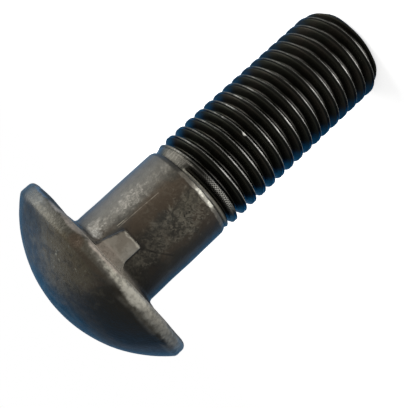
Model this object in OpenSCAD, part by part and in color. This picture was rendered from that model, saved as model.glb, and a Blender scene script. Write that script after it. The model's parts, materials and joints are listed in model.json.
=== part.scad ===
// Cup head nib bolt, forged in one piece, with a rolled right-hand thread.
// It stands on the flat end of its thread, head up, with the nib to the front (-Y).

/* [Head] */
// Diameter of the head
head_d = 48.1; // [40:0.1:60]
// Height of the head, from its flat underside to the crown
head_h = 15.2; // [12:0.1:19]
// Height of the plain rim between the underside and the dome
rim_h = 3.8; // [2.5:0.1:5]
// Radius of the rim's lower edge
rim_edge_r = 1; // [0.3:0.1:2]
// Radius of the fillet between the head and the shank
head_fillet_r = 0.8; // [0.3:0.1:1.5]

/* [Nib] */
// Width of the nib at its free end
nib_w = 4.8; // [3:0.1:8]
// Length of the nib along the shank
nib_len = 5.6; // [3:0.1:9]
// Distance from the bolt's axis to the nib's outer face, at the head
nib_reach = 17.4; // [15:0.1:20]
// Distance by which the nib's outer face leans in towards its free end
nib_lean = 1.5; // [0:0.1:3]
// Extra width of the nib at the head, on its long sloping side
nib_flare = 1.6; // [0:0.1:3]
// Radius of the fillet on the nib's short side
nib_fillet_r = 1.6; // [0.3:0.1:2.5]

/* [Shank] */
// Length of the bolt, from the head's underside to the thread's end
length = 73.7; // [60:0.1:120]
// Length of the plain shank, from the head to its shoulder
shank_len = 22.4; // [15:0.1:30]
// Diameter of the plain shank
shank_d = 23.46; // [22.6:0.01:23.7]
// Diameter of the shank where it meets the head, after its slight taper beside the nib
root_d = 23.26; // [22:0.02:23.6]
// Height of the bevel that steps the shank down to the neck
shoulder_h = 0.6; // [0.4:0.1:1]
// Diameter of the neck between the shank and the thread
neck_d = 22.1; // [20.8:0.1:22.4]

/* [Thread] */
// Diameter over the crests of the thread
thread_d = 23.76; // [23.2:0.01:24]
// Pitch of the thread, which also sets the depth of its groove
pitch = 3; // [2:0.1:3]
// Width of the flat crest
crest_w = 0.7; // [0.3:0.1:0.8]
// Width of the flat at the bottom of the groove
groove_floor_w = 0.28; // [0.1:0.02:0.4]
// Distance from the shoulder to where the groove begins
groove_start = 1.45; // [1.2:0.05:4]
// Angle at which the groove begins, counted from +X
groove_angle = 288; // [0:1:359]
// Distance from the shoulder to the first full crest
crest_start = 3.8; // [3:0.1:6]
// Length over which the crests rise from the neck
crest_rise = 1.9; // [0.5:0.1:2.2]
// Height of the bevel on the thread's end
end_bevel = 1.3; // [0.8:0.1:2]
// Diameter of the flat face on the thread's end
end_d = 20.7; // [18:0.1:21]

/* [Hidden] */
$fn = 96;

// How far the parts of the blank reach into each other
lap = 1;
// Plain length between the nib's free end and the shank's taper
taper_gap = 0.4;
// How far the groove's cutter reaches past the crests
cutter_gap = 0.2;
// Facets in one turn of the groove
steps = 30;
// Facets over which the groove's cutter comes out at the start
run_out = 3;
// Part of a turn that the cutter runs on past the thread's end
run_on = 0.75;

shoulder_z = length - shank_len;
groove_z = shoulder_z - groove_start;
crest_z = shoulder_z - crest_start;
taper_z = length - nib_len - taper_gap;
flank = tan(30);
groove_depth = (pitch - crest_w - groove_floor_w) / (2 * flank);
groove_floor_r = thread_d / 2 - groove_depth;
groove_turns = groove_z / pitch + run_on;
cutter_r = thread_d / 2 + cutter_gap;
rim_r = head_d / 2;
dome_h = head_h - rim_h;
dome_r = (pow(rim_r, 2) + pow(dome_h, 2)) / (2 * dome_h);

// Half section of the head, from its underside up
module head_section() {
    square([rim_r - rim_edge_r, rim_h]);
    translate([0, rim_edge_r]) square([rim_r, rim_h - rim_edge_r]);
    translate([rim_r - rim_edge_r, rim_edge_r]) circle(rim_edge_r);
    intersection() {
        square([rim_r, head_h]);
        translate([0, head_h - dome_r]) circle(dome_r);
        translate([0, rim_h]) square([rim_r, dome_h]);
    }
}

// Half section of the fillet where the shank meets the head
module head_fillet_section() {
    r = head_fillet_r;
    translate([root_d / 2, length - r]) difference() {
        translate([-r, 0]) square(2 * r);
        translate([r, 0]) circle(r);
    }
}

// Half section of the shank, neck and thread, from the thread's end up
module rod_section() {
    polygon([
        [0, 0],
        [end_d / 2, 0],
        [thread_d / 2, end_bevel],
        [thread_d / 2, crest_z],
        [neck_d / 2, crest_z + crest_rise],
        [neck_d / 2, shoulder_z],
        [shank_d / 2, shoulder_z + shoulder_h],
        [shank_d / 2, taper_z],
        [root_d / 2, length - head_fillet_r],
        [root_d / 2, length + lap],
        [0, length + lap]
    ]);
}

// The forged blank, before the thread is rolled
module blank() {
    rotate_extrude() {
        rod_section();
        head_fillet_section();
        translate([0, length]) head_section();
    }
}

// Outline of the nib, seen from the front, with the head's underside at 0
module nib_front() {
    r = nib_fillet_r;
    w = nib_w / 2;
    polygon([
        [-w, lap],
        [-w, -nib_len],
        [w, -nib_len],
        [w + nib_flare, 0],
        [w + nib_flare, lap]
    ]);
    translate([-w - r, -r]) difference() {
        square(r + lap);
        circle(r);
    }
}

// Outline of the nib, seen from the side, with the head's underside at 0
module nib_side() {
    polygon([
        [0, lap],
        [0, -nib_len],
        [nib_reach - nib_lean, -nib_len],
        [nib_reach, 0],
        [nib_reach, lap]
    ]);
}

// Nib under the head, which stops the bolt from turning
module nib() {
    translate([0, 0, length]) intersection() {
        rotate([90, 0, 0]) linear_extrude(nib_reach + lap) nib_front();
        rotate([90, 0, -90]) linear_extrude(nib_w * 4, center = true) nib_side();
    }
}

// Width of the groove at radius r, between 60 degree flanks
function groove_w(r) = groove_floor_w + 2 * (r - groove_floor_r) * flank;

// Section i of the groove's cutter, counted down from the shoulder and lifted out by "lift"
function cutter_section(i, lift) =
    let (a = groove_angle - 360 * i / steps, z = groove_z - pitch * i / steps)
    [for (p = [[groove_floor_r, 1], [groove_floor_r, -1], [cutter_r, -1], [cutter_r, 1]])
        [(p[0] + lift) * cos(a), (p[0] + lift) * sin(a), z + p[1] * groove_w(p[0]) / 2]];

// Lift of section i, which brings the cutter clear of the crests where the groove begins
function cutter_lift(i) = max(0, 1 - i / run_out) * (cutter_r - groove_floor_r);

// Cutter for one continuous right-hand groove
module groove_cutter() {
    n = floor(groove_turns * steps);
    last = 4 * n;
    points = [for (i = [0:n]) each cutter_section(i, cutter_lift(i))];
    sides = [for (i = [0:n - 1], j = [0:3]) let (a = 4 * i + j, b = 4 * i + (j + 1) % 4) each
        [[a, a + 4, b], [b, a + 4, b + 4]]];
    caps = [[0, 1, 2, 3], [last + 3, last + 2, last + 1, last]];
    polyhedron(points, concat(caps, sides));
}

// The whole bolt: blank and nib forged together, then the thread's groove rolled in
module bolt() {
    color("#3b3733") difference() {
        union() {
            blank();
            nib();
        }
        groove_cutter();
    }
}

bolt();
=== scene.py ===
import json
import math

import bpy
import numpy as np
from mathutils import Matrix, Vector, noise


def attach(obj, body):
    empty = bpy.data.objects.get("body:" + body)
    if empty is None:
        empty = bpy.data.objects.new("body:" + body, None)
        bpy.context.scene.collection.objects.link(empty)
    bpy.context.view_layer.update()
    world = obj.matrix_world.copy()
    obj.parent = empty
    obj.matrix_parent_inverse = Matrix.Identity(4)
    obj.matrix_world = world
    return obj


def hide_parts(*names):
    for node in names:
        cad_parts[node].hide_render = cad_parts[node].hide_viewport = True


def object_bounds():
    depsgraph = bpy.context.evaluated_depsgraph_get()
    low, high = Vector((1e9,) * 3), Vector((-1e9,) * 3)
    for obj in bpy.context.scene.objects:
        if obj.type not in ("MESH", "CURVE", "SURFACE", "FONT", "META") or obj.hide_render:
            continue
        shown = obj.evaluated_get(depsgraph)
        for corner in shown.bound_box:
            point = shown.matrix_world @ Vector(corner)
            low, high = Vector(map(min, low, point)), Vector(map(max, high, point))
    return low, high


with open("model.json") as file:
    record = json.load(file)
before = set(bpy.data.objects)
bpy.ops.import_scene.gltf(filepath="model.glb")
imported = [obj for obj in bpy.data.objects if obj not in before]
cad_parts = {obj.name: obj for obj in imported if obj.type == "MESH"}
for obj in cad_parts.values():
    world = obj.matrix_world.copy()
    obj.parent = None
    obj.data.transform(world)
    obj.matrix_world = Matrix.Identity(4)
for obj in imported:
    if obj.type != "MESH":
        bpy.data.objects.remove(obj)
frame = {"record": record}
cad_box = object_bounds()
MM = 0.001

# The camera stands in front of the bolt, a little to its -X side and level with the rim, and looks
# slightly down. It is rolled, so that the bolt leans across the picture, its head at the lower left.
CAMERA_PLACE = Vector((-4.42, -142.37, 78.775)) * MM
CAMERA_UP = Vector((0.73031, -0.13504, -0.66967))
CAMERA_BACK = Vector((0, -0.98027, 0.19766))
CAMERA_LENS = 57.26

camera = bpy.data.objects.new("camera", bpy.data.cameras.new("camera"))
camera.data.lens = CAMERA_LENS
camera.data.sensor_width = 36
camera.data.clip_start = 10 * MM
camera_axes = Matrix((CAMERA_UP.cross(CAMERA_BACK), CAMERA_UP, CAMERA_BACK)).transposed()
camera.matrix_world = Matrix.LocRotScale(CAMERA_PLACE, camera_axes.to_quaternion(), None)
bpy.context.scene.collection.objects.link(camera)
bpy.context.scene.camera = camera


# ---------------------------------------------------------------- forged blank
# Head, nib and shank, forged hot from one steel bar and left with their dark scale under oil.
# The nib grows out of the shank and the head's underside, and the shank ends in a worn shoulder.
# Places on it are degrees round from the front, towards -X, and millimetres below the underside.

mounts = {mount["name"]: mount for mount in frame["record"]["mounts"]}
SEAT_Z = mounts["underside"]["pos_m"][2]
SHANK_R = mounts["shank"]["dims"]["r_mm"] * MM
CREST_R = mounts["thread"]["dims"]["r_mm"] * MM
HEAD_R = (cad_box[1].x - cad_box[0].x) / 2
CROWN_Z = cad_box[1].z - 0.1 * MM
CROWN_RING = 0.012  # angle on the dome's sphere from the crown to the first ring of the mesh

RIM_R = HEAD_R - 0.02 * MM
RIM_H = 3.82 * MM
RIM_EDGE = 1.65 * MM  # size of the rim's rounded lower edge
RIM_CORNER = 0.5 * MM  # and of the softer corner between rim and dome
SEAT_RISE = 0.55 * MM  # how far the underside rises from the shank to the rim
SEAT_WEAR = 0.27 * MM  # how much further it rises at the front, where it is worn
SEAT_SPAN = 4.6 * MM  # the distance from the shank over which it rises
HEAD_LEAN = math.radians(0.3)  # the head leans back on the shank by this angle
HEAD_TILT = math.radians(0.25)  # and to +X by this one
DIE_TILT = math.radians(0.6)  # while the dome, forged in the other die, leans to -X
ROOT_R = 11.63 * MM  # radius of the shank beside the nib
TAPER_LEN = 6 * MM  # length over which it grows to its full radius below the nib
SEAT_FILLET = 0.8 * MM
SHANK_LEN = 23 * MM
SHANK_SWELL = 0.05 * MM  # how far the shank stands proud of its nominal radius
EASE_LEN = 9 * MM  # length of shank over which the mesh columns spread out evenly again
SHOULDER_H = 1.0 * MM
SHOULDER_STEP = 0.14 * MM  # how far the shoulder is worn in at the foot of its bevel
SHOULDER_LIP = 0.3 * MM  # and at its lower edge
NECK_R = 11.05 * MM
MIDDLE_R = 0.4 * MM  # radius of the innermost ring of the mesh, under the neck

NIB_LEN = 5.6 * MM
NIB_REACH = 17.4 * MM  # from the bolt's axis to the nib's outer face, under the head
NIB_LEAN = 1.5 * MM  # how far that face leans in at its free end
NIB_LEFT = 2.2 * MM  # from the middle to its straight side, towards -X
NIB_RIGHT = 2.57 * MM  # and to its sloping side, at the free end
NIB_FLARE = 1.6 * MM  # how much wider the sloping side is under the head
NIB_FILLET = 1.6 * MM
NIB_EDGE = 0.55 * MM  # size of the worn edges round its outer face
NIB_FOOT = 0.55 * MM  # size of the small fillet where it meets the shank
NIB_TAPER = 0.1 * MM  # how far its end face slopes down to the shank

# Columns of the mesh round the blank: the nib's own, then those of the plain round part
COLS_FOOT, COLS_WALL, COLS_EDGE, COLS_FACE, COLS_ROUND = 5, 9, 4, 15, 296
COLS_NIB = 2 * (COLS_FOOT + COLS_WALL + COLS_EDGE) + COLS_FACE + 1
COLS = COLS_NIB + COLS_ROUND
# Rows of the mesh down the blank, feature by feature
ROWS_DOME, ROWS_CORNER, ROWS_RIM, ROWS_EDGE, ROWS_SEAT = 76, 7, 9, 9, 26
ROWS_FILLET, ROWS_NIB, ROWS_BEVEL, ROWS_NIB_END, ROWS_NIB_FOOT = 6, 16, 6, 9, 6
ROWS_SHANK, ROWS_SHOULDER, ROWS_LIP, ROWS_STEP = 52, 5, 6, 8
FRONT = -math.pi / 2
# Angles of the columns where the blank is plainly round, spread evenly with the nib's at the front
even = FRONT + 2 * math.pi * (np.arange(COLS) - (COLS_NIB - 1) / 2) / COLS


def bend(start, corner, end, count):
    """Points along a rounded corner, from start up to but not at end."""
    t = np.linspace(0, 1, count, endpoint=False)[:, None]
    return (1 - t) ** 2 * np.array(start) + 2 * t * (1 - t) * np.array(corner) + t * t * np.array(end)


def run(start, end, count):
    """Points along a straight line, from start up to but not at end."""
    t = np.linspace(0, 1, count, endpoint=False)[:, None]
    return (1 - t) * np.array(start) + t * np.array(end)


def smooth(t):
    """A soft step from 0 to 1."""
    t = np.clip(t, 0, 1)
    return t * t * (3 - 2 * t)


def nib_sizes(depth):
    """The nib's -X and +X half widths and its reach, at a depth below the head's underside."""
    rise = max(0, NIB_FILLET - depth)
    left = NIB_LEFT + NIB_FILLET - math.sqrt(NIB_FILLET ** 2 - rise ** 2)
    right = NIB_RIGHT + NIB_FLARE * (1 - depth / NIB_LEN)
    return left, right, NIB_REACH - NIB_LEAN * depth / NIB_LEN


def nib_outline(left, right, reach, rod_r):
    """The nib cut across, as distances to +X and to the front, from its -X foot to its +X foot."""
    def on_rod(x):
        return (x, math.sqrt(rod_r ** 2 - x ** 2))
    height = reach - on_rod(max(left, right))[1]
    edge = min(NIB_EDGE, 0.4 * height)
    foot = min(NIB_FOOT, 0.5 * height)
    base_left, base_right = on_rod(-left), on_rod(right)
    foot_left, foot_right = on_rod(-left - foot), on_rod(right + foot)
    return np.concatenate([
        bend(foot_left, base_left, (-left, base_left[1] + foot), COLS_FOOT),
        run((-left, base_left[1] + foot), (-left, reach - edge), COLS_WALL),
        bend((-left, reach - edge), (-left, reach), (edge - left, reach), COLS_EDGE),
        run((edge - left, reach), (right - edge, reach), COLS_FACE),
        bend((right - edge, reach), (right, reach), (right, reach - edge), COLS_EDGE),
        run((right, reach - edge), (right, base_right[1] + foot), COLS_WALL),
        bend((right, base_right[1] + foot), base_right, foot_right, COLS_FOOT),
        [foot_right],
    ])


def ring(radius, angles=even):
    """One level of the blank, cut across as a circle."""
    return np.stack([radius * np.cos(angles), radius * np.sin(angles)], 1)


def nibbed_ring(rod_r, nib):
    """One level of the blank, cut across as a circle with the nib's outline at the front."""
    nib = nib * (1, -1)
    first = math.atan2(nib[0, 1], nib[0, 0])
    last = math.atan2(nib[-1, 1], nib[-1, 0])
    rest = np.linspace(last, first + 2 * math.pi, COLS_ROUND + 2)[1:-1]
    return np.concatenate([nib, ring(rod_r, rest)])


levels = []  # rings of points, from the crown down


def level(across, z):
    """Add a ring of points at a height."""
    levels.append(np.column_stack([across, np.full(len(across), z)]))


# Dome, from the crown to the corner at the rim
DOME_H = CROWN_Z - SEAT_Z - RIM_H
DOME_R = (RIM_R ** 2 + DOME_H ** 2) / (2 * DOME_H)
corner_angle = math.asin(RIM_R / DOME_R) - RIM_CORNER / DOME_R
for a in np.linspace(CROWN_RING, corner_angle, ROWS_DOME, endpoint=False):
    level(ring(DOME_R * math.sin(a)), CROWN_Z - DOME_R * (1 - math.cos(a)))
dome_end = (DOME_R * math.sin(corner_angle), CROWN_Z - DOME_R * (1 - math.cos(corner_angle)))
rim_top = (RIM_R, SEAT_Z + RIM_H - RIM_CORNER)
rim_foot = (RIM_R, SEAT_Z + RIM_EDGE)
for r, z in bend(dome_end, (RIM_R, SEAT_Z + RIM_H), rim_top, ROWS_CORNER):
    level(ring(r), z)
# Rim and its rounded lower edge
for r, z in run(rim_top, rim_foot, ROWS_RIM):
    level(ring(r), z)
for r, z in bend(rim_foot, (RIM_R, SEAT_Z), (RIM_R - RIM_EDGE, SEAT_Z), ROWS_EDGE):
    level(ring(r), z)
# Underside, from the rim in to the fillets of shank and nib
left, right, reach = nib_sizes(0)
fillet_outline = nib_outline(left, right, reach + NIB_FOOT, ROOT_R + SEAT_FILLET)
fillet_ring = nibbed_ring(ROOT_R + SEAT_FILLET, fillet_outline)
for t in np.linspace(0, 1, ROWS_SEAT, endpoint=False):
    level((1 - t) * ring(RIM_R - RIM_EDGE) + t * fillet_ring, SEAT_Z)
# Fillet and the stretch beside the nib
fillet_turns = np.linspace(0, math.pi / 2, ROWS_FILLET, endpoint=False)
nib_depths = np.linspace(SEAT_FILLET, NIB_LEN - NIB_EDGE, ROWS_NIB, endpoint=False)
for depth in np.concatenate([SEAT_FILLET * (1 - np.cos(fillet_turns)), nib_depths]):
    spread = SEAT_FILLET - math.sqrt(SEAT_FILLET ** 2 - max(0, SEAT_FILLET - depth) ** 2)
    left, right, reach = nib_sizes(depth)
    reach += NIB_FOOT * spread / SEAT_FILLET
    rod_r = ROOT_R + spread
    level(nibbed_ring(rod_r, nib_outline(left, right, reach, rod_r)), SEAT_Z - depth)
# The nib's bevelled end edge
for turn in np.linspace(0, math.pi / 2, ROWS_BEVEL):
    depth = NIB_LEN - NIB_EDGE * (1 - math.sin(turn))
    left, right, reach = [size - NIB_EDGE * (1 - math.cos(turn)) for size in nib_sizes(depth)]
    level(nibbed_ring(ROOT_R, nib_outline(left, right, reach, ROOT_R)), SEAT_Z - depth)
# Its end face, which closes in on the shank, and the foot where the two meet
nib_end = levels[-1][:, :2]
spread = np.concatenate([
    np.linspace(-left - NIB_FOOT, -left, COLS_FOOT, endpoint=False),
    np.linspace(-left, right, COLS_NIB - 2 * COLS_FOOT - 1),
    np.linspace(right, right + NIB_FOOT, COLS_FOOT + 1),
])
in_nib = smooth((spread + left + NIB_FOOT) / NIB_FOOT) * smooth((right + NIB_FOOT - spread) / NIB_FOOT)
foot_outline = np.stack([spread, np.sqrt(ROOT_R ** 2 - spread ** 2)], 1)
foot_ring = nibbed_ring(ROOT_R, foot_outline)
out_of_rod = np.concatenate([NIB_FOOT * in_nib, np.zeros(COLS_ROUND)]) / ROOT_R
nib_end_z = SEAT_Z - NIB_LEN
for t in np.linspace(0, 1, ROWS_NIB_END)[1:]:
    level((1 - t) * nib_end + t * foot_ring * (1 + out_of_rod)[:, None], nib_end_z - NIB_TAPER * t)
for turn in np.linspace(0, math.pi / 2, ROWS_NIB_FOOT)[1:]:
    swell = 1 + out_of_rod * (1 - math.sin(turn))
    level(foot_ring * swell[:, None], nib_end_z - NIB_TAPER - NIB_FOOT * (1 - math.cos(turn)))
# Shank, whose columns ease back to an even spread
crowded = np.unwrap(np.arctan2(foot_ring[:, 1], foot_ring[:, 0]))
crowded += 2 * math.pi * round((even[0] - crowded[0]) / (2 * math.pi))
shank_top = nib_end_z - NIB_TAPER - NIB_FOOT
shoulder_z = SEAT_Z - SHANK_LEN
shoulder_top = shoulder_z + SHOULDER_H
for z in np.linspace(shank_top, shoulder_top + 0.2 * MM, ROWS_SHANK)[1:]:
    ease = smooth((shank_top - z) / EASE_LEN)
    radius = ROOT_R + (SHANK_R - ROOT_R) * smooth((shank_top - z) / TAPER_LEN)
    level(ring(radius, (1 - ease) * crowded + ease * even), z)
# Worn shoulder, bevelled and rolled over towards the neck, and the flat ring that the neck stands on
bevel_start = (SHANK_R, shoulder_top + 0.1 * MM)
bevel_corner = (SHANK_R - 0.02 * MM, shoulder_top - 0.1 * MM)
bevel_foot = (SHANK_R - SHOULDER_STEP, shoulder_top - 0.4 * MM)
lip_corner = (SHANK_R - SHOULDER_LIP, shoulder_z + 0.04 * MM)
for r, z in bend(bevel_start, bevel_corner, bevel_foot, ROWS_SHOULDER):
    level(ring(r), z)
for r, z in bend(bevel_foot, lip_corner, (NECK_R, shoulder_z), ROWS_LIP):
    level(ring(r), z)
for r in np.linspace(NECK_R, MIDDLE_R, ROWS_STEP):
    level(ring(r), shoulder_z)

rows = len(levels)
points = np.vstack([np.array(levels).reshape(-1, 3), (0, 0, CROWN_Z), (0, 0, shoulder_z)])
out = np.hypot(points[:, 0], points[:, 1])
above = points[:, 2] - SEAT_Z
degrees = np.degrees(np.arctan2(-points[:, 0], -points[:, 1]))
# The underside rises slightly towards the rim, a little more where it is worn in front
worn = smooth((degrees + 46) / 6) * (1 - smooth((degrees - 58) / 20))
worn *= 1 - 0.6 * smooth((degrees - 20) / 25)
rise = (SEAT_RISE + SEAT_WEAR * worn) * smooth((out - ROOT_R) / SEAT_SPAN) * smooth(1 + above / MM)
points[:, 2] += rise * (1 - smooth(above / RIM_H))
# The head sits a little askew on the shank, and its dome leans the other way
askew = smooth(above / MM + 0.5) * smooth((out - 11 * MM) / (3 * MM)) * (1 - smooth(above / (14 * MM)))
points[:, 2] -= askew * (math.tan(HEAD_LEAN) * points[:, 1] + math.tan(HEAD_TILT) * points[:, 0])
in_dome = smooth(above / RIM_H * 2 - 1) * smooth((out / MM - 13) / 8)
points[:, 2] += in_dome * math.tan(DIE_TILT) * points[:, 0]
# Faces between each ring and the next, and round the middle points of crown and neck
crown, floor_mid = len(points) - 2, len(points) - 1
last = (rows - 1) * COLS
faces = []
for i in range(COLS):
    k = (i + 1) % COLS
    faces += [(j + i, j + COLS + i, j + COLS + k, j + k) for j in range(0, last, COLS)]
    faces += [(crown, i, k), (floor_mid, last + k, last + i)]

mesh = bpy.data.meshes.new("forged_blank")
mesh.from_pydata(points.tolist(), [], faces)
mesh.polygons.foreach_set("use_smooth", [True] * len(mesh.polygons))
normals = np.empty(len(points) * 3)
mesh.vertex_normals.foreach_get("vector", normals)
normals = normals.reshape(-1, 3)

# What the forging and its use left on it: uneven dies, dents, creases and scratches
depths = (SEAT_Z - points[:, 2]) / MM
out = np.hypot(points[:, 0], points[:, 1])
on_rod = (out < SHANK_R + 0.1 * MM) & (depths > 0)


def uneven(size, height):
    """A soft unevenness over the whole blank, with hollows of a given size."""
    return np.array([height * noise.noise(Vector(p) / size) for p in points])


def dent(degree, depth, width, length, hollow, tilt=0):
    """A soft hollow at a place on the blank, tilt degrees off the bolt's length."""
    across = np.radians(degrees - degree) * out / MM
    along = depths - depth
    turn = math.radians(tilt)
    u = (across * math.cos(turn) + along * math.sin(turn)) / width
    v = (along * math.cos(turn) - across * math.sin(turn)) / length
    return hollow * np.exp(-u * u - v * v)


def crease(start, end, width, hollow):
    """A narrow fold or scratch on the shank, straight from one place to another."""
    a = np.array([math.radians(start[0]) * SHANK_R / MM, start[1]])
    b = np.array([math.radians(end[0]) * SHANK_R / MM, end[1]])
    spots = np.column_stack([np.radians(degrees) * SHANK_R / MM, depths])
    share = np.clip((spots - a) @ (b - a) / ((b - a) @ (b - a)), 0, 1)
    gap = np.linalg.norm(spots - a - share[:, None] * (b - a), axis=1)
    return hollow * np.exp(-(gap / width) ** 2) * on_rod


# Dents: place, width, length and hollow of each, and for some their tilt
DENTS = (
    (-16, -2.9, 1.3, 0.9, 0.22 * MM),
    (-3, -3.9, 3.2, 0.5, 0.10 * MM),
    (-40, -3.6, 2.5, 0.8, 0.10 * MM),
    (52, -2.6, 2.2, 0.8, 0.08 * MM),
    (140, -1.8, 2.6, 1.0, 0.12 * MM),
    (-118, -3.2, 2.0, 0.8, 0.12 * MM),
    (7, 14, 1.6, 2.5, 0.05 * MM, 20),
    (150, 10, 1.8, 3.0, 0.06 * MM, -30),
)
# Two folds beside the nib, one at the back, and two thin scratches, each from one place to another
FOLDS = ((11.5, 5.5), (42, 9.7)), ((11, 6.0), (27, 7.4))
BACK_FOLD = (-112, 8), (-96, 13)
LONG_SCRATCH = (-19.8, 5.3), (-18, 16)
SHORT_SCRATCH = (-21.8, 5.3), (-20.9, 8.2)

hollow = uneven(7 * MM, 0.05 * MM) + uneven(2.2 * MM, 0.02 * MM) + uneven(0.9 * MM, 0.01 * MM)
hollow -= np.where(on_rod, SHANK_SWELL, 0)
for place in DENTS:
    hollow += dent(*place)
hollow += crease(*FOLDS[0], 0.24, 0.07 * MM)
hollow += crease(*FOLDS[1], 0.2, 0.05 * MM)
hollow += crease(*LONG_SCRATCH, 0.16, 0.02 * MM)
hollow += crease(*BACK_FOLD, 0.22, 0.05 * MM)
# The rim may be hollowed but not raised, so that the head keeps its width
hollow = np.where(out > RIM_R - MM, np.maximum(hollow, 0), hollow)
points -= normals * hollow[:, None]
mesh.vertices.foreach_set("co", points.ravel())
mesh.update()


class Rule:
    """A number in a node tree, so that a rule can be written with the usual signs."""

    def __init__(self, tree, socket):
        self.tree = tree
        self.socket = socket

    def node(self, kind, *values, **settings):
        """A node of any kind, with its sockets fed in order from numbers or rules."""
        made = self.tree.nodes.new(kind)
        for name, value in settings.items():
            setattr(made, name, value)
        for slot, value in zip(made.inputs, values):
            if isinstance(value, Rule):
                self.tree.links.new(value.socket, slot)
            elif value is not None:
                slot.default_value = value
        return made

    def calc(self, operation, *others):
        """This number worked on by a Math node, with other numbers or rules."""
        made = self.node("ShaderNodeMath", self, *others, operation=operation)
        return Rule(self.tree, made.outputs[0])

    def __add__(self, other):
        return self.calc("ADD", other)

    def __sub__(self, other):
        return self.calc("SUBTRACT", other)

    def __mul__(self, other):
        return self.calc("MULTIPLY", other)

    def __truediv__(self, other):
        return self.calc("DIVIDE", other)

    def less_from(self, whole):
        """The whole less this number."""
        return self.calc("MULTIPLY_ADD", -1, whole)

    def step(self, start, end, low=0, high=1):
        """A soft step from low at start to high at end."""
        made = self.node("ShaderNodeMapRange", self, start, end, low, high, interpolation_type="SMOOTHSTEP")
        return Rule(self.tree, made.outputs[0])

    def near(self, middle, width):
        """1 at a middle value, falling softly to 0 a width away on either side."""
        return (self - middle).calc("ABSOLUTE").step(width, 0)


PAINTED_BLUE_REFLECTION = (0.35, 0.59, 0.90)  # a painted blue reflection, put into the edge tint where the steel is seen edge on
# Sockets of a Mix node that mixes colours
MIX_SHARE, MIX_BELOW, MIX_ABOVE, MIX_RESULT = 0, 6, 7, 2


class Finish:
    """A steel surface: its ground colour, and layers that cover parts of it, from the bottom up."""

    def __init__(self, name, ground):
        self.material = bpy.data.materials.new(name)
        self.material.use_nodes = True
        self.tree = self.material.node_tree
        self.shader = self.tree.nodes["Principled BSDF"]
        self.spot = Rule(self.tree, self.tree.nodes.new("ShaderNodeTexCoord").outputs["Object"])
        x, y, z = self.spot.node("ShaderNodeSeparateXYZ", self.spot).outputs
        self.x, self.y, self.z = [Rule(self.tree, part) for part in (x, y, z)]
        self.out = (self.x * self.x + self.y * self.y).calc("SQRT")
        self.degrees = (self.x * -1).calc("ARCTAN2", self.y * -1) * (180 / math.pi)
        self.depth = (self.z - SEAT_Z) / -MM
        self.sides = (self.x / self.out).calc("ABSOLUTE").step(0.83, 0.95)  # towards +X and -X
        self.behind = self.degrees.calc("ABSOLUTE").step(80, 100)
        self.colour = ground
        self.ragged = self.grain(1.3 * MM, 3) - 0.5  # what makes the edge of a patch ragged

    def grain(self, size, detail=2, spot=None, twist=0):
        """Soft random values from 0 to 1, in spots of a given size."""
        made = self.spot.node("ShaderNodeTexNoise", spot or self.spot)
        made.inputs["Scale"].default_value = 1 / size
        made.inputs["Detail"].default_value = detail
        made.inputs["Distortion"].default_value = twist
        return Rule(self.tree, made.outputs[0])

    def streaks(self, size, stretch, radius, slant=0):
        """Random values like grain, stretched along the bolt, or on a slant down towards -X."""
        around = self.degrees * math.radians(radius)
        along = self.z
        if slant:
            around, along = around + along * slant, along + around * slant
        spot = self.spot.node("ShaderNodeCombineXYZ", around, self.out, along / stretch)
        return self.grain(size, 2, Rule(self.tree, spot.outputs[0]))

    def patch(self, degree, depth, width, length, ragged=0.6):
        """A soft patch with a ragged edge, at a place in degrees and millimetres."""
        u = (self.degrees - degree).calc("WRAP", 180, -180) / width
        v = (self.depth - depth) / length
        return ((u * u + v * v).calc("SQRT") + self.ragged * (2 * ragged)).step(1.3, 0.6)

    def stroke(self, start, end, width, ragged=0.3):
        """A soft straight line on the shank, from one place to another."""
        mm_per_degree = math.radians(SHANK_R / MM)
        along = Vector(((end[0] - start[0]) * mm_per_degree, end[1] - start[1]))
        length = along.length
        along /= length
        u = (self.degrees - start[0]) * mm_per_degree
        v = self.depth - start[1]
        way = u * along.x + v * along.y
        off = u * along.y - v * along.x
        beyond = (way - length / 2).calc("ABSOLUTE") - length / 2
        gap = beyond.calc("MAXIMUM", 0) + (off.calc("ABSOLUTE") + self.ragged * ragged)
        return gap.step(width, 0.2 * width)

    def layer(self, share, colour):
        """Cover a share of what is there, from 0 to 1, with a colour."""
        mix = self.tree.nodes.new("ShaderNodeMix")
        mix.data_type = "RGBA"
        self.tree.links.new(share.socket, mix.inputs[MIX_SHARE])
        if isinstance(self.colour, Rule):
            self.tree.links.new(self.colour.socket, mix.inputs[MIX_BELOW])
        else:
            mix.inputs[MIX_BELOW].default_value = (*self.colour, 1)
        mix.inputs[MIX_ABOVE].default_value = (*colour, 1)
        self.colour = Rule(self.tree, mix.outputs[MIX_RESULT])

    def close(self, roughness, relief, edge, edge_tints):
        """Dark metal of the layered colour, which takes other colours where it is seen edge on: edge tints,
        some of them painted reflections.
        """
        bump = self.tree.nodes.new("ShaderNodeBump")
        bump.inputs["Distance"].default_value = 1
        self.tree.links.new(relief.socket, bump.inputs["Height"])
        self.tree.links.new(bump.outputs[0], self.shader.inputs["Normal"])
        self.tree.links.new(self.colour.socket, self.shader.inputs["Base Color"])
        self.tree.links.new(roughness.socket, self.shader.inputs["Roughness"])
        self.shader.inputs["Metallic"].default_value = 1
        self.colour = edge
        for share, colour in edge_tints:
            self.layer(share, colour)
        self.tree.links.new(self.colour.socket, self.shader.inputs["Specular Tint"])


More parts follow.
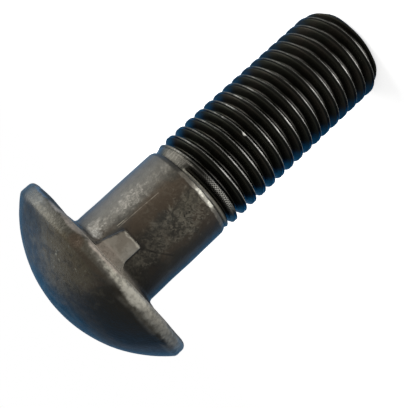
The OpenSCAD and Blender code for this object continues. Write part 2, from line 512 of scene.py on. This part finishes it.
def dark_scale():
    """Forging scale under oil: brown and grey clouds, light mottles, and bright steel where it is worn, with
    painted light and highlights towards +X, painted shade towards -X and in corners, and painted blue
    reflections at the edges.
    """
    steel = Finish("dark_scale", (0.036, 0.033, 0.027))
    depth = steel.depth
    clouds = steel.grain(8 * MM, 2)
    steel.layer(clouds.step(0.56, 0.42) * 0.7, (0.024, 0.022, 0.019))
    steel.layer(steel.grain(6 * MM, 3, twist=0.5).step(0.5, 0.62) * 0.6, (0.048, 0.037, 0.027))
    # Broad patches, each with its place, its share and its colour
    for place, share, colour in (
        # Shank: grey towards +X as painted light, brown in front, dark towards -X as painted shade
        ((-58, 11, 40, 16, 0.2), 1, (0.050, 0.047, 0.040)),
        ((-68, 11, 13, 16, 0.1), 0.8, (0.068, 0.062, 0.054)),
        ((-9, 14, 13, 9.5, 0.3), 0.85, (0.050, 0.038, 0.027)),
        ((5, 12.8, 8, 2.6, 0.6), 0.6, (0.028, 0.028, 0.025)),
        ((64, 9, 26, 16, 0.3), 0.8, (0.024, 0.022, 0.018)),
        ((71, 9, 15, 18, 0.2), 0.8, (0.046, 0.046, 0.045)),
        # Painted shadow under the head, towards -X
        ((38, 2, 19, 5, 0.4), 0.6, (0.015, 0.014, 0.012)),
        # Dome: lighter towards +X, partly painted light, and darker towards -X as painted shade
        ((34, -6.2, 30, 5.2, 0.3), 0.9, (0.015, 0.013, 0.009)),
        ((66, -7, 14, 6, 0.2), 0.7, (0.038, 0.037, 0.037)),
        ((-19, -6.6, 22, 6.0, 0.4), 0.9, (0.050, 0.042, 0.027)),
        ((-64, -7, 32, 6.5, 0.3), 0.8, (0.024, 0.021, 0.015)),
    ):
        steel.layer(steel.patch(*place) * share, colour)
    # Blotches on the dome, the light ones only towards +X, and a little pale dust in front
    on_dome = depth.step(-4, -5)
    blotches = steel.grain(1.9 * MM, 4, twist=0.6)
    steel.layer(blotches.step(0.5, 0.36) * on_dome * 0.45, (0.017, 0.015, 0.011))
    steel.layer(blotches.step(0.53, 0.66) * on_dome * steel.degrees.step(25, 0) * 0.4, (0.056, 0.050, 0.035))
    dust = steel.grain(0.8 * MM, 2).step(0.63, 0.72) * steel.patch(-16, -6.5, 18, 3.5, 0.8) * on_dome
    steel.layer(dust * 0.6, (0.11, 0.105, 0.08))
    # Mottles, which lie thickest in a few broad patches
    smears = steel.grain(1.1 * MM, 5, twist=1.2).step(0.44, 0.64)
    worms = steel.grain(0.7 * MM, 3, twist=2).near(0.5, 0.06)
    flecks = (smears * 0.5 + worms * smears.step(-0.2, 0.6) * 0.5).calc("MINIMUM", 1)
    thick = steel.patch(18, 17.5, 20, 6, 1.1).calc("MAXIMUM", steel.patch(16, 8.5, 15, 6, 1.2) * 0.6)
    for degree, at, width, length in ((128, 9, 26, 7), (-118, 14, 20, 8), (-160, 5, 18, 5)):
        thick = thick.calc("MAXIMUM", steel.patch(degree, at, width, length, 1.0))
    on_shank = depth.step(0, 0.6) * depth.step(22.3, 21.3)
    steel.layer(flecks * (thick * 0.7 + clouds.step(0.45, 0.62) * 0.2) * on_shank, (0.140, 0.126, 0.097))
    lumps = steel.grain(1.6 * MM, 3, twist=0.8).step(0.52, 0.66)
    steel.layer(lumps * thick * on_shank * 0.5, (0.105, 0.094, 0.072))
    steel.layer(steel.patch(11, 19.6, 10, 3, 0.9) * (flecks * 0.6 + 0.3) * on_shank, (0.092, 0.083, 0.062))
    slant = steel.streaks(0.5 * MM, 1 / 3, SHANK_R, 0.6).step(0.5, 0.68)
    steel.layer(slant * thick * clouds.step(0.42, 0.58) * on_shank * 0.7, (0.13, 0.12, 0.096))
    pits = steel.grain(0.8 * MM, 3, twist=1).step(0.42, 0.3)
    steel.layer(pits * (thick * 0.65 + 0.15) * on_shank, (0.013, 0.012, 0.010))
    # The mottles are brightest along the +X side, under a painted highlight, with painted glints in it
    highlight_band = steel.patch(-33, 10, 8, 12, 1.0) * 0.4
    for degree, at, width, length in ((-34, 11.5, 9, 4), (-36, 1.6, 10, 2.6)):
        highlight_band = highlight_band.calc("MAXIMUM", steel.patch(degree, at, width, length, 1.2))
    steel.layer(highlight_band * (flecks * 0.75 + 0.25) * on_shank, (0.105, 0.098, 0.085))
    sparkle = steel.grain(0.45 * MM, 3).step(0.5, 0.66)
    steel.layer(highlight_band * sparkle * on_shank * 0.45, (0.15, 0.142, 0.122))
    steel.layer(steel.patch(-31, 1.0, 6, 1.3, 0.9) * (sparkle * 0.5 + 0.35) * on_shank, (0.165, 0.16, 0.145))
    # Creases with painted shade in them and a painted highlight beside each towards +X, and scratches
    gaps = steel.grain(1.2 * MM, 2).step(0.4, 0.6)
    for (start, end), width in zip(FOLDS, (0.3, 0.25)):
        steel.layer(steel.stroke(start, end, width) * 0.6, (0.016, 0.015, 0.013))
        lit = ((start[0] - 1.5, start[1] + 0.35), (end[0] - 1.5, end[1] + 0.35))
        steel.layer(steel.stroke(*lit, 0.2, 0.5) * gaps * 0.5, (0.09, 0.08, 0.065))
    steel.layer(steel.stroke(*SHORT_SCRATCH, 0.11, 0.1) * gaps * 0.9, (0.20, 0.18, 0.14))
    steel.layer(steel.stroke(*LONG_SCRATCH, 0.1, 0.1) * (gaps * 0.5 + 0.25), (0.17, 0.15, 0.12))
    # Rim, scuffed bright in patches with fine marks in them
    marks = (steel.streaks(0.5 * MM, 2, RIM_R) * 0.25 + steel.grain(0.7 * MM, 3) * 0.75).step(0.36, 0.64)
    on_rim = steel.out.step(RIM_R - 1.9 * MM, RIM_R - 1.2 * MM) * depth.step(-0.2, -0.5)
    on_rim = on_rim * depth.step(-4.9, -4.1)
    rubbed = on_rim * steel.grain(4 * MM, 2).step(0.35, 0.6)
    steel.layer(rubbed * (marks * 0.3 + 0.4), (0.075, 0.070, 0.058))
    steel.layer(steel.patch(-36, -2.2, 24, 1.9, 0.4) * on_rim * 0.9, (0.034, 0.032, 0.026))
    steel.layer(steel.patch(-55, -2.8, 11, 1.5, 0.5) * on_rim * 0.8, (0.060, 0.058, 0.050))
    # Each with its place, how far the marks break it up, its share at the least, and its colour
    for place, by_marks, share, colour in (
        ((-38, -3.6, 17, 0.8, 0.6), 0.6, 0.3, (0.066, 0.062, 0.050)),
        ((40, -1.9, 34, 1.5, 0.4), 0.4, 0.5, (0.165, 0.16, 0.14)),
        ((18, -1.75, 27, 1.25, 0.35), 0.4, 0.3, (0.24, 0.225, 0.19)),
        ((13, -1.9, 16, 0.8, 0.45), 0.7, 0.15, (0.38, 0.36, 0.30)),
        ((20, -2.2, 8, 1.15, 0.4), 0.4, 0.45, (0.33, 0.315, 0.27)),
        ((-2, -1.15, 12, 0.65, 0.5), 0.35, 0.65, (0.30, 0.26, 0.22)),
        ((-23, -1.35, 8, 0.6, 0.5), 0.35, 0.5, (0.18, 0.16, 0.14)),
    ):
        steel.layer(steel.patch(*place) * on_rim * (marks * by_marks + share), colour)
    # Darker brown in the rim's two dents, partly their own colour, partly painted shade
    steel.layer(steel.patch(-16, -2.9, 4, 1.3, 0.3) * 0.85, (0.052, 0.039, 0.028))
    steel.layer(steel.patch(-6, -3.9, 11, 0.6, 0.4) * 0.8, (0.042, 0.034, 0.025))
    # Its lower edge and what shows of the underside, matt, lightened by painted light against the shade
    # under the head, and with a painted blue reflection round towards +X
    below = depth.step(-1.3, -0.8) * depth.step(1.2, 0.6) * steel.out.step(11.7 * MM, 12.2 * MM)
    steel.layer(below * steel.degrees.near(6, 48) * 0.95, (0.33, 0.30, 0.25))
    steel.layer(steel.patch(-36, -1.0, 7, 0.75, 0.4) * 0.8, (0.17, 0.16, 0.15))
    steel.layer(steel.patch(-52, -0.7, 12, 0.8, 0.3) * 0.7, (0.05, 0.085, 0.135))
    # Nib, rubbed to a plain grey on its face and bright on its end edge, with painted shade in its corners
    # and on its +X side
    face = (steel.y + NIB_REACH - depth * (NIB_LEAN / NIB_LEN * MM)).step(1.2 * MM, 0.3 * MM)
    on_nib = steel.y.step(-12.4 * MM, -13.4 * MM) * steel.y.step(-19.5 * MM, -19 * MM)
    on_nib = on_nib * depth.step(-1.4, -1)
    steel.layer(on_nib * depth.step(0.6, 1.2) * 0.7, (0.055, 0.050, 0.042))
    border = (depth * (NIB_FLARE / NIB_LEN)).less_from((NIB_RIGHT + NIB_FLARE) / MM)
    inward = steel.x / MM - border + steel.ragged * 0.8
    # Painted shade on its +X side, which faces the lamp
    steel.layer(on_nib * inward.step(-0.8, -0.2) * 0.85, (0.022, 0.022, 0.020))
    face = face * inward.step(-0.1, -0.7)
    steel.layer(on_nib * face * 0.9, (0.128, 0.112, 0.090))
    # Painted light on the face near the head, against the shade there
    steel.layer(on_nib * face * depth.step(1.8, 0.4) * 0.8, (0.24, 0.205, 0.17))
    left_half = (steel.x / MM + steel.ragged * 3).step(0.3, -2.6)
    steel.layer(on_nib * face * left_half * 0.75, (0.185, 0.175, 0.150))
    steel.layer(on_nib * face * blotches.step(0.48, 0.62) * 0.35, (0.19, 0.175, 0.145))
    steel.layer(on_nib * face * pits * 0.35, (0.075, 0.068, 0.056))
    end_edge = on_nib * (depth + steel.ragged * 1.3).step(4.8, 5.3)
    steel.layer(end_edge * face * gaps * 0.7, (0.30, 0.28, 0.235))
    steel.layer(steel.patch(9.5, 5.35, 2.2, 0.45, 0.5) * on_nib * 0.8, (0.45, 0.42, 0.34))
    # Painted shade along the nib's +X foot and under its end
    steel.layer(steel.stroke((-21.5, 0), (-15, 5.6), 0.8, 0.5) * 0.7, (0.026, 0.027, 0.028))
    steel.layer(steel.stroke((-13, 6.15), (10, 6.0), 0.3, 0.2) * 0.7, (0.018, 0.016, 0.013))
    # Shoulder, darker all round and worn bright at the front, where a painted highlight lies on the wear
    bevel = (depth + steel.ragged * 0.9).step(21.7, 22.0) * depth.step(23.0, 22.8)
    bevel = bevel * steel.out.step(NECK_R, NECK_R + 0.25 * MM)
    steel.layer(bevel * 0.5, (0.022, 0.021, 0.018))
    worn = bevel * (steel.degrees + steel.ragged * 8).step(-22, -16)
    steel.layer(worn * steel.degrees.step(85, 50) * (gaps * 0.3 + 0.5), (0.115, 0.105, 0.085))
    steel.layer(bevel * steel.behind * gaps * 0.6, (0.15, 0.14, 0.12))
    steel.layer(worn * steel.degrees.near(18, 34) * (gaps * 0.4 + 0.4), (0.30, 0.28, 0.24))
    # The brightest spot, bare steel under a painted highlight
    steel.layer(worn * steel.patch(19, 22.55, 13, 0.7, 1.1) * (gaps * 0.65 + 0.3), (0.78, 0.76, 0.66))
    # Bare steel, known by its bright colour, is smoother than the scale
    red = steel.colour.node("ShaderNodeSeparateColor", steel.colour).outputs[0]
    bare = Rule(steel.tree, red).step(0.05, 0.25)
    rough = (steel.ragged * 0.2 + 0.52) - bare * 0.1 + below * 0.3
    relief = steel.grain(0.45 * MM, 3) * (0.05 * MM) + steel.grain(1.8 * MM, 2) * (0.06 * MM)
    relief = relief + flecks * thick * (0.02 * MM) + marks * on_rim * (0.02 * MM)
    # The bluish edge tint, and the blue tints at the sides, on the crown and under the head towards +X, are
    # painted reflections
    steel.close(rough, relief, edge=(0.45, 0.57, 0.74), edge_tints=(
        (steel.sides.calc("MAXIMUM", depth.step(-11, -13.5)), PAINTED_BLUE_REFLECTION),
        (below * steel.degrees.near(-48, 20), (0.60, 0.80, 1.0)),
        (below * steel.degrees.near(0, 40), (0.95, 0.88, 0.80)),
    ))
    return steel.material


scale = dark_scale()
blank = bpy.data.objects.new("forged_blank", mesh)
bpy.context.scene.collection.objects.link(blank)
mesh.materials.append(scale)
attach(blank, "root")
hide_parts("bolt")


# --------------------------------------------------------------- rolled thread
# One right-hand groove, rolled cold into the end of the same forging, which pushes the steel up into
# crests. Each crest keeps the thin seam between its two lips that rolling leaves. The thread is oiled,
# its end is bevelled and slightly dished, and a short plain neck joins it to the shank.

PITCH = 3 * MM
CREST_SWELL = 0.04 * MM  # how far the crests stand proud of their nominal radius
CREST_W = 0.86 * MM
CREST_PUSH = 0.34 * MM  # how far the groove pushes the steel beside it up
CREST_ROUND = 0.09 * MM
GROOVE_FLOOR_R = 10.13 * MM
FLOOR_ROUND = 0.35 * MM
FLANK = math.sqrt(3)  # slope of the 60 degree groove's flanks
# Heights between which the neck grows to the size the thread is rolled on, in two steps
GROWTH_HEIGHTS = (50.6 * MM, 48.9 * MM, 47.2 * MM)
GROWTH_STEPS = (0.33 * MM, 0.5 * MM)
END_R = 10.2 * MM
END_SHIFT = 0.15 * MM  # how far the end's bevel is off centre, away from +X
END_BURR = 0.3 * MM  # how far the burrs on the end's edge stand out
END_BEVEL = 1.3 * MM
END_ROUND = 0.06 * MM
END_DISH = 0.35 * MM
CREST_AT = 0.96 * MM  # height of the lowest crest, straight above +X
GROOVE_TOP = 49.86 * MM  # height at which the groove begins, at the angle that the crests' rule gives
GROOVE_MID = 0.486  # pitches from a crest up to the middle of the groove, where it begins
START_SLIM = 0.62 * MM  # how much narrower the groove is where it begins
START_RISE = 0.4 * MM  # and how much shallower
NECK_LAP = 0.5 * MM  # how far the neck reaches up inside the blank
CAP_SPAN = 2 * MM  # length of mesh rows that close each end
SEAM_DEPTH = 0.13 * MM  # depth of the seam along each crest
CHEQUER = 0.54 * MM  # pitch of the chequer that the dies left on the neck
THREAD_COLS = 180
THREAD_ROWS = 24  # mesh rows in one pitch
THREAD_TURNS = 20
THREAD_LEAD = 2  # turns of the mesh below the lowest crest, which close the end
ROW_CROWD = 0.62  # how far the mesh rows crowd at the crests, from 0 to 1


def thread_tree():
    """The tree that turns a flat grid into the neck and thread, wound on a helix."""
    tree = bpy.data.node_groups.new("rolled_thread", "GeometryNodeTree")
    sizes = {
        "Pitch": PITCH,
        "Crest radius": CREST_R + CREST_SWELL,
        "Crest width": CREST_W,
        "Groove floor radius": GROOVE_FLOOR_R,
        "Neck radius": NECK_R,
        "Neck top": shoulder_z + NECK_LAP,
        "Groove top": GROOVE_TOP,
        "End radius": END_R,
        "End bevel": END_BEVEL,
        "End shift": END_SHIFT,
        "End burr": END_BURR,
        "First crest": CREST_AT,
        "Seam depth": SEAM_DEPTH,
    }
    for name in sizes:
        tree.interface.new_socket(name, in_out="INPUT", socket_type="NodeSocketFloat")
    tree.interface.new_socket("Steel", in_out="INPUT", socket_type="NodeSocketMaterial")
    tree.interface.new_socket("Mesh", in_out="OUTPUT", socket_type="NodeSocketGeometry")
    given = tree.nodes.new("NodeGroupInput")
    (pitch, crest_r, crest_w, floor_r, neck_r, top, groove_top, end_r, bevel, shift, burr, first,
     seam_depth) = [Rule(tree, given.outputs[name]) for name in sizes]

    grid = tree.nodes.new("GeometryNodeMeshGrid")
    rows = THREAD_ROWS * THREAD_TURNS + 1
    for slot, value in zip(grid.inputs, (1, 1, THREAD_COLS + 1, rows)):
        slot.default_value = value
    place = tree.nodes.new("ShaderNodeSeparateXYZ")
    tree.links.new(tree.nodes.new("GeometryNodeInputPosition").outputs[0], place.inputs[0])
    turn = Rule(tree, place.outputs[0]) + 0.5
    row = ((Rule(tree, place.outputs[1]) + 0.5) * (rows - 1)).calc("ROUND") / THREAD_ROWS
    # Mesh rows crowd at the crests
    part = row.calc("FRACT")
    crowd = (part * (2 * math.pi)).calc("SINE") * (ROW_CROWD / (2 * math.pi))
    free = first + pitch * (row - crowd + turn - THREAD_LEAD)
    height = free.calc("MAXIMUM", 0).calc("MINIMUM", top)
    beyond = (free - height).calc("ABSOLUTE") / CAP_SPAN
    closing = beyond.calc("MINIMUM", 1).less_from(1)

    # Place within one pitch, counted up from a crest, and the turns since the groove began
    wound = (height - first) / pitch - turn
    part = wound.calc("FRACT")
    off_crest = part.calc("MINIMUM", part.less_from(1)) * pitch
    since = (groove_top - first) / pitch - GROOVE_MID - turn - wound.calc("FLOOR")
    cut = since.step(0, 0.03)
    cut_below = (since + 1).step(0, 0.012)
    cut_above = (since - 1).step(0, 0.012)
    near_below = part.step(0.3, 0, 0, 0.5)
    near_above = part.step(0.7, 1, 0, 0.5)
    pushed = cut * (near_below + near_above).less_from(1) + cut_below * near_below + cut_above * near_above

    # The blank's own radius, its crests pushed up by the groove, then the flanks and the groove's floor
    plain = neck_r
    for start, end, growth in zip(GROWTH_HEIGHTS, GROWTH_HEIGHTS[1:], GROWTH_STEPS):
        plain = plain + height.step(start, end, 0, growth)
    proud = (plain + pushed * CREST_PUSH).calc("MINIMUM", crest_r)
    # The groove's first turn starts narrow and shallow: its upper flank begins further down
    narrow = since.step(0, 0.7, START_SLIM, 0) * part.step(0.5, 0.55)
    flank = proud - (off_crest - crest_w * 0.5 - narrow) * FLANK
    floor_here = floor_r + since.step(0, 0.6, START_RISE, 0)
    rolled = proud.calc("SMOOTH_MIN", flank, CREST_ROUND)
    rolled = rolled.calc("SMOOTH_MAX", floor_here, FLOOR_ROUND)
    seam = off_crest.step(0.25 * MM, 0.08 * MM) * seam_depth * proud.step(crest_r - 0.3 * MM, crest_r)
    radius = plain + (rolled - seam - plain) * cut
    # The end's bevel, a little off centre, longer at the sides, and with a burr in two places
    angle = turn * (2 * math.pi)
    sideways = angle.calc("COSINE")
    burrs = turn.near(0.608, 0.05) + turn.near(0.86, 0.09) * 1.6
    end_here = end_r - sideways * shift + burrs * burr
    bevel_here = bevel + (sideways * sideways * 0.45 + sideways * 0.25) * MM
    bevelled = end_here + (crest_r - end_here) * height / bevel_here
    radius = radius.calc("SMOOTH_MIN", bevelled, END_ROUND)
    dish = closing.step(1, 0) * (free * -1).calc("SIGN").calc("MAXIMUM", 0) * END_DISH
    x = sideways * radius * closing
    y = angle.calc("SINE") * radius * closing
    spot = pitch.node("ShaderNodeCombineXYZ", x, y, height + dish)
    bent = tree.nodes.new("GeometryNodeSetPosition")
    tree.links.new(grid.outputs[0], bent.inputs["Geometry"])
    tree.links.new(spot.outputs[0], bent.inputs["Position"])
    joined = tree.nodes.new("GeometryNodeMergeByDistance")
    joined.inputs["Distance"].default_value = 0.002 * MM
    real = tree.nodes.new("GeometryNodeRealizeInstances")
    finish = tree.nodes.new("GeometryNodeSetMaterial")
    tree.links.new(given.outputs["Steel"], finish.inputs["Material"])
    out = tree.nodes.new("NodeGroupOutput")
    for a, b in zip((bent, joined, real, finish), (joined, real, finish, out)):
        tree.links.new(a.outputs[0], b.inputs[0])
    return tree, sizes


def rolled_steel():
    """Steel rolled cold and oiled: black in the groove, with a thin bright lip along each crest, worn steel
    with a painted highlight on it in front.
    """
    steel = Finish("rolled_steel", (0.012, 0.012, 0.009))
    turn = (steel.degrees + 90) / -360
    part = (steel.z - CREST_AT) / PITCH - turn
    crest = part.calc("ROUND")
    off = (part - crest) * (PITCH / MM)  # millimetres from the nearest crest, towards the head
    along = steel.degrees * math.radians(CREST_R)
    spot = steel.spot.node("ShaderNodeCombineXYZ", along, crest * PITCH)
    wear = steel.grain(3 * MM, 3, Rule(steel.tree, spot.outputs[0]))
    steel.layer(steel.grain(5 * MM, 2).step(0.45, 0.65) * 0.6, (0.017, 0.014, 0.011))
    # Neck, lighter, with fine marks along it and a chequer where the dies gripped it
    marks = steel.streaks(0.35 * MM, 8, NECK_R)
    neck = steel.depth.step(27.0, 26.0) * steel.out.step(10.95 * MM, 11.1 * MM)
    steel.layer(neck * 0.9, (0.036, 0.034, 0.028))
    steel.layer(neck * marks.step(0.45, 0.65) * steel.degrees.step(-15, -25) * 0.6, (0.075, 0.070, 0.060))
    chequer = (steel.degrees * (math.radians(NECK_R) * 2 * math.pi / CHEQUER)).calc("SINE")
    chequer = chequer * (steel.z * (2 * math.pi / CHEQUER)).calc("SINE")
    land = neck * steel.depth.step(24.6, 24.9) * steel.degrees.step(-24, -16)
    steel.layer(land * 0.8, (0.034, 0.032, 0.028))
    steel.layer(neck * steel.degrees.step(-18, -26) * chequer.step(0, 0.4) * 0.4, (0.060, 0.057, 0.050))
    # Crests: darker along the seam, and bare steel on the lip towards the thread's end, with a painted
    # highlight on it in front
    on_top = steel.out.step(CREST_R - 0.3 * MM, CREST_R - 0.1 * MM)
    steel.layer(on_top * off.near(0, 0.45), (0.006, 0.006, 0.005))
    top_turns = steel.depth.step(62, 44)
    front = steel.degrees.near(34, 56) * 1.15 + steel.degrees.near(-8, 26) * 0.5 + steel.behind * 0.5 + 0.06
    front = front.calc("MINIMUM", 1)
    beside = steel.degrees.step(-18, -34)  # the side towards +X, where the lip is broken into spots
    spots = steel.degrees.near(-36, 24) * (wear.step(0.40, 0.56) * 0.2 + 0.03) * top_turns
    # The first turn is less worn in front than the others
    later = steel.depth.step(26.4, 27.4).calc("MAXIMUM", steel.degrees.step(-12, -28) * 0.5)
    worn = steel.out.step(CREST_R - 0.7 * MM, CREST_R - 0.45 * MM) * (later * 0.8 + 0.2)
    wander = off + steel.ragged * 0.08 - beside * 0.24
    chips = steel.grain(0.9 * MM, 2).step(0.36, 0.56) * 0.35 + 0.65
    lower = (wander + 0.55).near(0, steel.degrees.near(20, 26) * 0.14 + 0.26)
    lower = lower * (wear.step(0.3, 0.6) * 0.35 + 0.65) * chips
    lit = worn * lower * front.calc("MAXIMUM", spots)
    steel.layer(lit, (0.62, 0.61, 0.57))
    # The painted highlight at its brightest, nearly white
    brightest = lower * (wear.step(0.4, 0.6) * 0.8 + 0.6) * steel.degrees.near(19, 22)
    steel.layer(worn * brightest, (1.0, 0.98, 0.93))
    far = worn * (off + 0.68).near(0, 0.18) * beside * spots
    steel.layer(far, (0.9, 0.88, 0.84))
    # A fainter line of light along the groove's floor
    foot = steel.out.step(10.7 * MM, 10.4 * MM) * (off - 1.38).calc("WRAP", 1.5, -1.5).near(0, 0.24)
    foot = foot * (steel.degrees.near(-24, 18) * 0.25).calc("MAXIMUM", steel.degrees.near(18, 26))
    foot = foot * steel.depth.step(26.2, 27) * (wear * 0.8 + 0.3)
    steel.layer(foot, (0.22, 0.21, 0.19))
    # The chequer where it is bright, on the crest that begins beside the neck, and a nick in one crest
    gripped = land * (steel.degrees.near(30, 34) * 1.4).calc("MINIMUM", 1) * off.near(0, 1.0)
    steel.layer(gripped * chequer.step(-0.1, 0.3), (0.42, 0.41, 0.37))
    nick = steel.patch(-3, 38.1, 3, 0.5, 0.6) * steel.out.step(CREST_R - 0.5 * MM, CREST_R - 0.2 * MM)
    steel.layer(nick, (0.7, 0.68, 0.62))
    # The neck's edges: a thin line beside the first crest towards +X, and a lip in front by the shoulder
    edge = (off - 0.36).near(0, 0.12) * neck * steel.degrees.step(-2, -12) * steel.degrees.step(-75, -50)
    steel.layer(edge * 0.8, (0.07, 0.065, 0.055))
    lip = steel.depth.near(23.45, 0.4) * steel.degrees.step(-23, -19) * steel.degrees.step(80, 30)
    steel.layer(lip * neck * (marks.step(0.3, 0.6) * 0.4 + 0.5), (0.17, 0.16, 0.13))
    relief = steel.grain(0.4 * MM, 3) * (0.03 * MM) + marks * neck * (0.03 * MM)
    # The slightly blue edge tint and the blue at the sides are painted reflections; the pale tint follows
    # the painted highlights on the lips
    steel.close(steel.ragged * 0.2 + 0.45, relief, edge=(0.36, 0.42, 0.48), edge_tints=(
        (steel.sides, PAINTED_BLUE_REFLECTION),
        (lit.calc("MAXIMUM", foot.calc("MAXIMUM", far)), (0.9, 0.9, 0.88)),
    ))
    return steel.material


tree, sizes = thread_tree()
holder = bpy.data.objects.new("thread_holder", bpy.data.meshes.new("thread_holder"))
bpy.context.scene.collection.objects.link(holder)
roller = holder.modifiers.new("rolled_thread", "NODES")
roller.node_group = tree
keys = {item.name: item.identifier for item in tree.interface.items_tree if item.in_out == "INPUT"}
for name, value in sizes.items():
    roller[keys[name]] = value
roller[keys["Steel"]] = rolled_steel()
depsgraph = bpy.context.evaluated_depsgraph_get()
thread_mesh = bpy.data.meshes.new_from_object(
    holder.evaluated_get(depsgraph), preserve_all_data_layers=True, depsgraph=depsgraph)
bpy.data.objects.remove(holder)
thread_mesh.name = "rolled_thread"
thread_mesh.polygons.foreach_set("use_smooth", [True] * len(thread_mesh.polygons))
thread = bpy.data.objects.new("rolled_thread", thread_mesh)
bpy.context.scene.collection.objects.link(thread)
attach(thread, "root")
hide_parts("bolt")


# ---------------------------------------------------------------------- studio
# A pale paper floor in a plain white room, both white to the camera, so that the room's light can be
# weak. A broad lamp stands at the bolt's +X side, and a weaker one hangs over its back.

FLOOR_SIZE = 40
FLOOR_GLOW = 0.72  # strength at which the camera sees the floor shine by itself
STUDIO_GLOW = 0.35  # strength at which the room lights the bolt


def plain_white(tree, seen, lit):
    """Strength of a pale surface: as the camera and shiny things see it, and as it lights the rest."""
    path = tree.nodes.new("ShaderNodeLightPath")
    direct = Rule(tree, path.outputs["Is Camera Ray"])
    for ray in ("Is Glossy Ray", "Is Transmission Ray"):
        direct = direct.calc("MAXIMUM", Rule(tree, path.outputs[ray]))
    return direct * (seen - lit) + lit


def lamp(name, place, aim, size, power):
    """A square lamp at a place, aimed at a spot on the bolt."""
    light = bpy.data.lights.new(name, "AREA")
    light.energy = power
    light.size = size
    held = bpy.data.objects.new(name, light)
    held.location = place
    held.rotation_mode = "QUATERNION"
    held.rotation_quaternion = (Vector(aim) - Vector(place)).to_track_quat("-Z", "Y")
    bpy.context.scene.collection.objects.link(held)


bpy.ops.mesh.primitive_plane_add(size=FLOOR_SIZE)
floor = bpy.context.object
floor.name = "floor"
paper = bpy.data.materials.new("white_paper")
paper.use_nodes = True
shader = paper.node_tree.nodes["Principled BSDF"]
shader.inputs["Base Color"].default_value = (0.8, 0.8, 0.8, 1)
shader.inputs["Roughness"].default_value = 1
shader.inputs["Specular IOR Level"].default_value = 0
shader.inputs["Emission Color"].default_value = (1, 1, 1, 1)
floor_glow = plain_white(paper.node_tree, FLOOR_GLOW, 0)
paper.node_tree.links.new(floor_glow.socket, shader.inputs["Emission Strength"])
floor.data.materials.append(paper)

studio = bpy.data.worlds.new("studio")
studio.use_nodes = True
background = studio.node_tree.nodes["Background"]
background.inputs["Color"].default_value = (1, 1, 1, 1)
studio_glow = plain_white(studio.node_tree, 1, STUDIO_GLOW)
studio.node_tree.links.new(studio_glow.socket, background.inputs["Strength"])
bpy.context.scene.world = studio
bpy.context.scene.view_settings.view_transform = "Standard"

lamp("side", place=(0.36, -0.02, 0.12), aim=(0, 0, 0.06), size=0.32, power=2.4)
lamp("top", place=(0.20, 0.18, 0.42), aim=(0, 0, 0.08), size=0.25, power=0.8)
